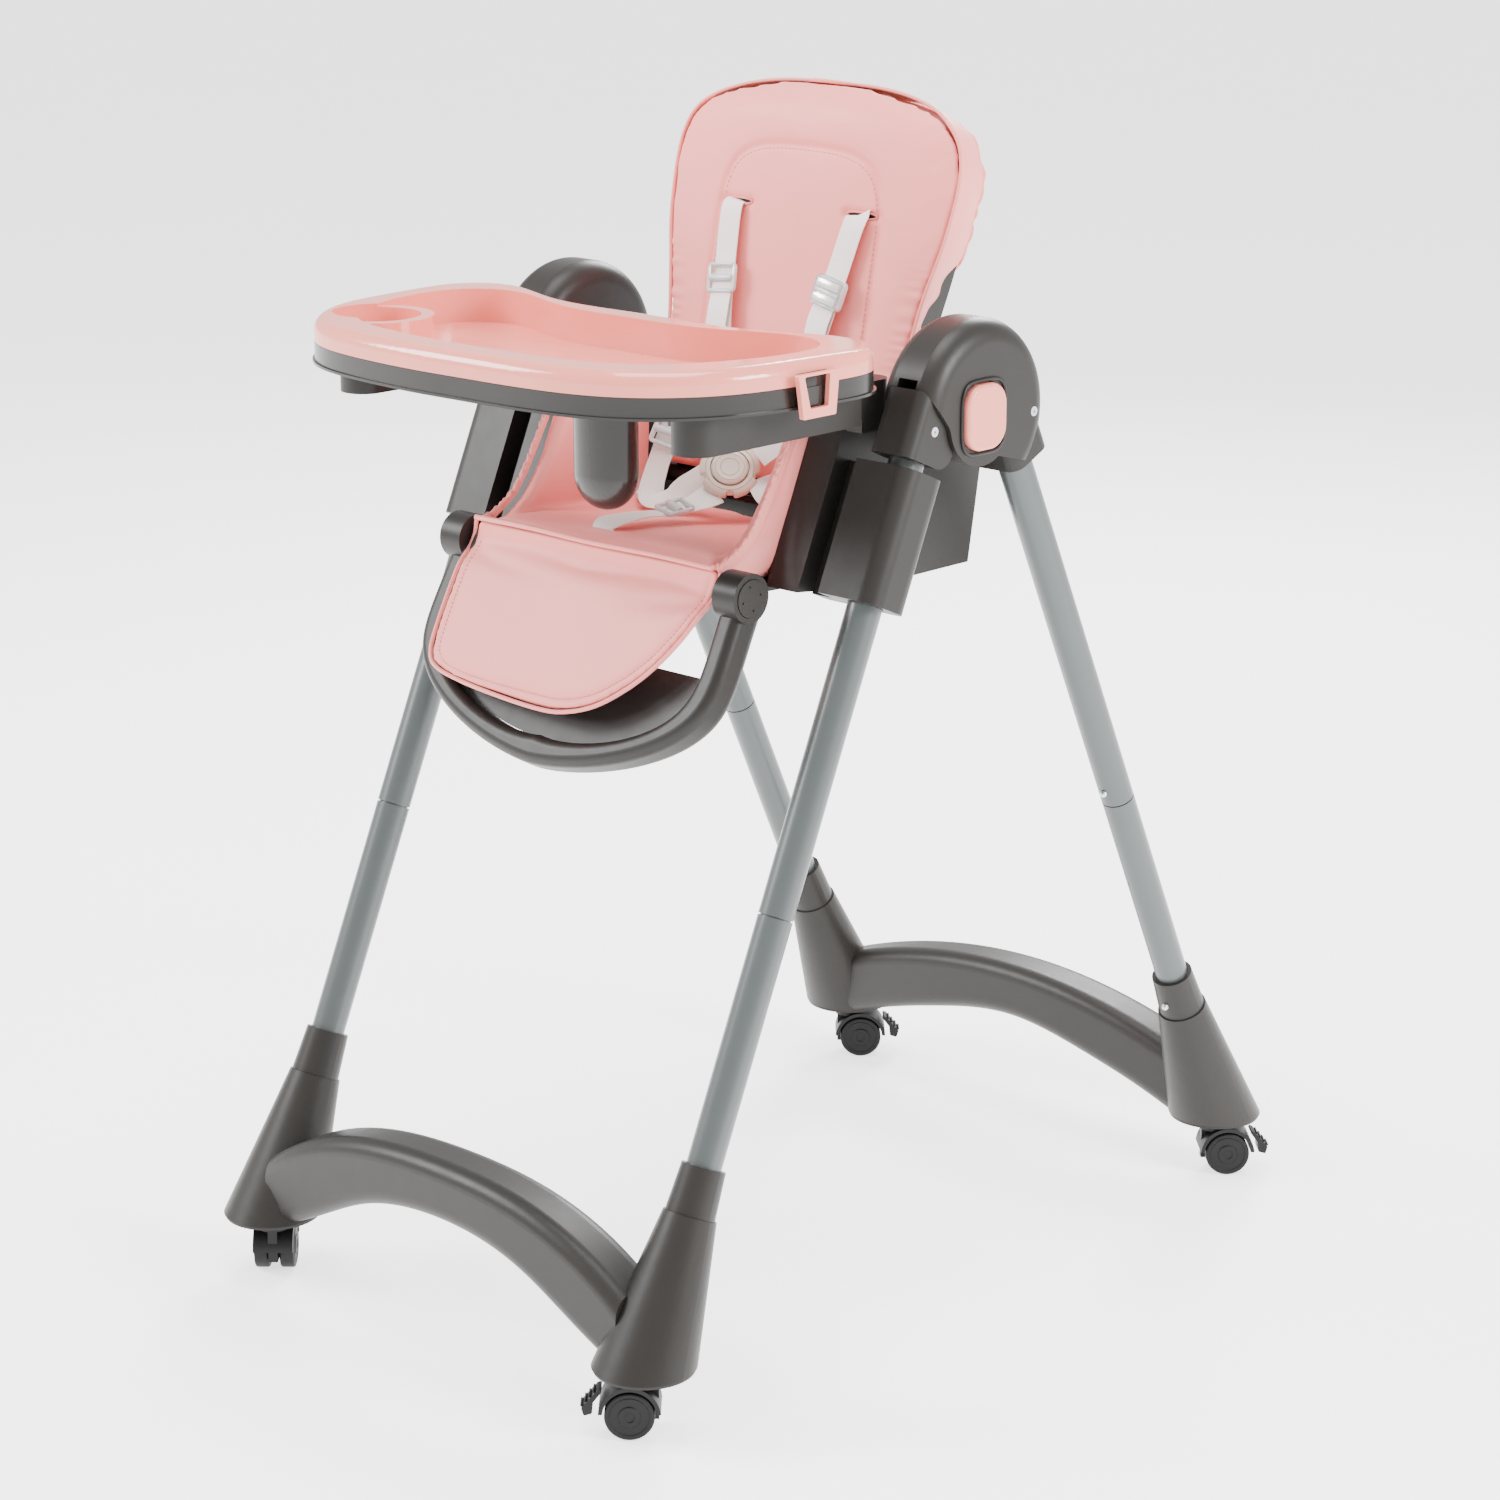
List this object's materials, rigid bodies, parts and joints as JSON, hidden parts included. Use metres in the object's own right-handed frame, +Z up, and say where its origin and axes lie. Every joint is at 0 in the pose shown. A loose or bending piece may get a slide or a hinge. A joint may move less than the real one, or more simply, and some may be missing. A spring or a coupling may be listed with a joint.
{
  "type": "folding high chair",
  "caption": "Folding baby high chair with padded reclining seat, lift-off tray, harness, hinged footrest and braked casters.",
  "frame": {"origin": "on the floor, midway between the four casters", "axes": "+Z up, front of the chair towards -Y, the child's left towards +X"},
  "size_m": [0.5599, 0.866, 1.0497],
  "materials": {
    "dark_plastic": "moulded, fine texture",
    "tray_dark": "satin",
    "tray_pink": "glossy",
    "button_pink": "satin",
    "tube_paint": "satin paint",
    "steel": "zinc plated",
    "caster_black": "moulded",
    "wheel_black": "smooth",
    "lever_grey": "moulded",
    "cushion_pink": "soft coated fabric",
    "webbing": "woven",
    "adjuster_clear": "translucent",
    "buckle_cream": "satin"
  },
  "bodies": {
    "front_frame": {"front_foot": "dark_plastic", "front_foot_caps": "dark_plastic", "front_collars": "dark_plastic", "front_fasteners": "steel", "front_lower_tube_left": "tube_paint", "front_lower_tube_right": "tube_paint", "front_upper_tube_left": "tube_paint", "front_upper_tube_right": "tube_paint", "hub_bracket_left": "dark_plastic", "hub_bracket_right": "dark_plastic"},
    "rear_frame": {"rear_foot": "dark_plastic", "rear_foot_caps": "dark_plastic", "rear_collars": "dark_plastic", "rear_fasteners": "steel", "rear_lower_tube_left": "tube_paint", "rear_lower_tube_right": "tube_paint", "rear_upper_tube_left": "tube_paint", "rear_upper_tube_right": "tube_paint", "hub_casing_left": "dark_plastic", "hub_casing_right": "dark_plastic"},
    "fold_button_left": {"fold_button_left": "button_pink"},
    "fold_button_right": {"fold_button_right": "button_pink"},
    "caster_front_left": {"caster_fork_front_left": "caster_black"},
    "caster_wheels_front_left": {"caster_wheels_front_left": "wheel_black"},
    "caster_brake_front_left": {"caster_brake_front_left": "caster_black"},
    "caster_front_right": {"caster_fork_front_right": "caster_black"},
    "caster_wheels_front_right": {"caster_wheels_front_right": "wheel_black"},
    "caster_brake_front_right": {"caster_brake_front_right": "caster_black"},
    "caster_rear_left": {"caster_fork_rear_left": "caster_black"},
    "caster_wheels_rear_left": {"caster_wheels_rear_left": "wheel_black"},
    "caster_brake_rear_left": {"caster_brake_rear_left": "caster_black"},
    "caster_rear_right": {"caster_fork_rear_right": "caster_black"},
    "caster_wheels_rear_right": {"caster_wheels_rear_right": "wheel_black"},
    "caster_brake_rear_right": {"caster_brake_rear_right": "caster_black"},
    "seat": {"seat_side_left": "dark_plastic", "seat_side_right": "dark_plastic", "seat_pan": "dark_plastic", "seat_cushion": "cushion_pink", "armrest_left": "dark_plastic", "armrest_right": "dark_plastic", "lap_straps": "webbing", "harness_buckle": "buckle_cream", "lever_screws": "steel"},
    "buckle_button": {"buckle_button": "buckle_cream"},
    "height_lever_left": {"height_lever_left": "lever_grey"},
    "height_lever_right": {"height_lever_right": "lever_grey"},
    "backrest": {"back_shell": "dark_plastic", "back_cushion": "cushion_pink", "shoulder_straps": "webbing", "strap_adjusters": "adjuster_clear"},
    "recline_handle": {"recline_handle": "dark_plastic"},
    "footrest": {"footrest_frame": "dark_plastic", "footrest_board": "dark_plastic", "footrest_caps": "dark_plastic", "calf_pad": "cushion_pink"},
    "tray": {"tray_base": "tray_dark", "crotch_post": "tray_dark"},
    "tray_top": {"tray_top": "tray_pink"},
    "tray_clip_left": {"tray_clip_left": "tray_pink"},
    "tray_clip_right": {"tray_clip_right": "tray_pink"}
  },
  "joints": [
    {"name": "leg_fold", "type": "hinge", "parent": "front_frame", "child": "rear_frame", "pos_m": [0, -0.008, 0.797], "axis": [-1, 0, 0], "range_deg": [0, 40]},
    {"name": "fold_button_left_press", "type": "slide", "parent": "rear_frame", "child": "fold_button_left", "axis": [-1, 0, 0], "range_m": [0, 0.004], "stiffness_N_per_m": 600, "springref_m": -0.002},
    {"name": "fold_button_right_press", "type": "slide", "parent": "rear_frame", "child": "fold_button_right", "axis": [1, 0, 0], "range_m": [0, 0.004], "stiffness_N_per_m": 600, "springref_m": -0.002},
    {"name": "caster_swivel_front_left", "type": "hinge", "parent": "front_frame", "child": "caster_front_left", "pos_m": [0.236, -0.389, 0.05], "axis": [0, 0, 1], "continuous": true},
    {"name": "caster_roll_front_left", "type": "hinge", "parent": "caster_front_left", "child": "caster_wheels_front_left", "pos_m": [0.22722, -0.39718, 0.021], "axis": [0.682, -0.7314, 0], "continuous": true},
    {"name": "caster_brake_front_left_press", "type": "hinge", "parent": "caster_front_left", "child": "caster_brake_front_left", "pos_m": [0.21187, -0.41151, 0.042], "axis": [0.682, -0.7314, 0], "range_deg": [0, 12]},
    {"name": "caster_swivel_front_right", "type": "hinge", "parent": "front_frame", "child": "caster_front_right", "pos_m": [-0.236, -0.389, 0.05], "axis": [0, 0, 1], "continuous": true},
    {"name": "caster_roll_front_right", "type": "hinge", "parent": "caster_front_right", "child": "caster_wheels_front_right", "pos_m": [-0.24418, -0.38022, 0.021], "axis": [-0.7314, -0.682, 0], "continuous": true},
    {"name": "caster_brake_front_right_press", "type": "hinge", "parent": "caster_front_right", "child": "caster_brake_front_right", "pos_m": [-0.25851, -0.36487, 0.042], "axis": [-0.7314, -0.682, 0], "range_deg": [0, 12]},
    {"name": "caster_swivel_rear_left", "type": "hinge", "parent": "rear_frame", "child": "caster_rear_left", "pos_m": [0.236, 0.389, 0.05], "axis": [0, 0, 1], "continuous": true},
    {"name": "caster_roll_rear_left", "type": "hinge", "parent": "caster_rear_left", "child": "caster_wheels_rear_left", "pos_m": [0.24449, 0.39749, 0.021], "axis": [-0.7071, 0.7071, 0], "continuous": true},
    {"name": "caster_brake_rear_left_press", "type": "hinge", "parent": "caster_rear_left", "child": "caster_brake_rear_left", "pos_m": [0.25933, 0.41233, 0.042], "axis": [-0.7071, 0.7071, 0], "range_deg": [0, 12]},
    {"name": "caster_swivel_rear_right", "type": "hinge", "parent": "rear_frame", "child": "caster_rear_right", "pos_m": [-0.236, 0.389, 0.05], "axis": [0, 0, 1], "continuous": true},
    {"name": "caster_roll_rear_right", "type": "hinge", "parent": "caster_rear_right", "child": "caster_wheels_rear_right", "pos_m": [-0.22722, 0.39718, 0.021], "axis": [-0.682, 0.7314, 0], "continuous": true},
    {"name": "caster_brake_rear_right_press", "type": "hinge", "parent": "caster_rear_right", "child": "caster_brake_rear_right", "pos_m": [-0.21187, 0.41151, 0.042], "axis": [-0.682, 0.7314, 0], "range_deg": [0, 12]},
    {"name": "seat_height", "type": "slide", "parent": "front_frame", "child": "seat", "axis": [0, -0.4035, -0.915], "range_m": [0, 0.22]},
    {"name": "height_lever_left_squeeze", "type": "hinge", "parent": "seat", "child": "height_lever_left", "pos_m": [0.219, -0.08021, 0.66054], "axis": [1, 0, 0], "range_deg": [0, 15], "stiffness_Nm_per_rad": 0.4, "springref_deg": -8.59},
    {"name": "height_lever_right_squeeze", "type": "hinge", "parent": "seat", "child": "height_lever_right", "pos_m": [-0.219, -0.08021, 0.66054], "axis": [1, 0, 0], "range_deg": [0, 15], "stiffness_Nm_per_rad": 0.4, "springref_deg": -8.59},
    {"name": "back_recline", "type": "hinge", "parent": "seat", "child": "backrest", "pos_m": [0, 0.02, 0.69], "axis": [-1, 0, 0], "range_deg": [0, 38]},
    {"name": "recline_handle_pull", "type": "hinge", "parent": "backrest", "child": "recline_handle", "pos_m": [0, 0.0943, 0.94868], "axis": [1, 0, 0], "range_deg": [0, 12], "stiffness_Nm_per_rad": 1, "springref_deg": -11.46},
    {"name": "footrest_tilt", "type": "hinge", "parent": "seat", "child": "footrest", "pos_m": [0, -0.2, 0.661], "axis": [-1, 0, 0], "range_deg": [0, 60]},
    {"name": "tray_slide", "type": "slide", "parent": "seat", "child": "tray", "axis": [0, -1, 0], "range_m": [0, 0.06]},
    {"name": "tray_top_lift", "type": "slide", "parent": "tray", "child": "tray_top", "axis": [0, 0, 1], "range_m": [0, 0.045]},
    {"name": "tray_clip_left_swing", "type": "hinge", "parent": "tray_top", "child": "tray_clip_left", "pos_m": [0.2572, -0.208, 0.858], "axis": [0, -1, 0], "range_deg": [0, 25], "stiffness_Nm_per_rad": 0.15, "springref_deg": -8.59},
    {"name": "tray_clip_right_swing", "type": "hinge", "parent": "tray_top", "child": "tray_clip_right", "pos_m": [-0.2572, -0.208, 0.858], "axis": [0, 1, 0], "range_deg": [0, 25], "stiffness_Nm_per_rad": 0.15, "springref_deg": -8.59},
    {"name": "buckle_button_press", "type": "slide", "parent": "seat", "child": "buckle_button", "axis": [-0.5503, 0.5803, -0.6003], "range_m": [0, 0.0014], "stiffness_N_per_m": 600, "springref_m": -0.001}
  ]
}
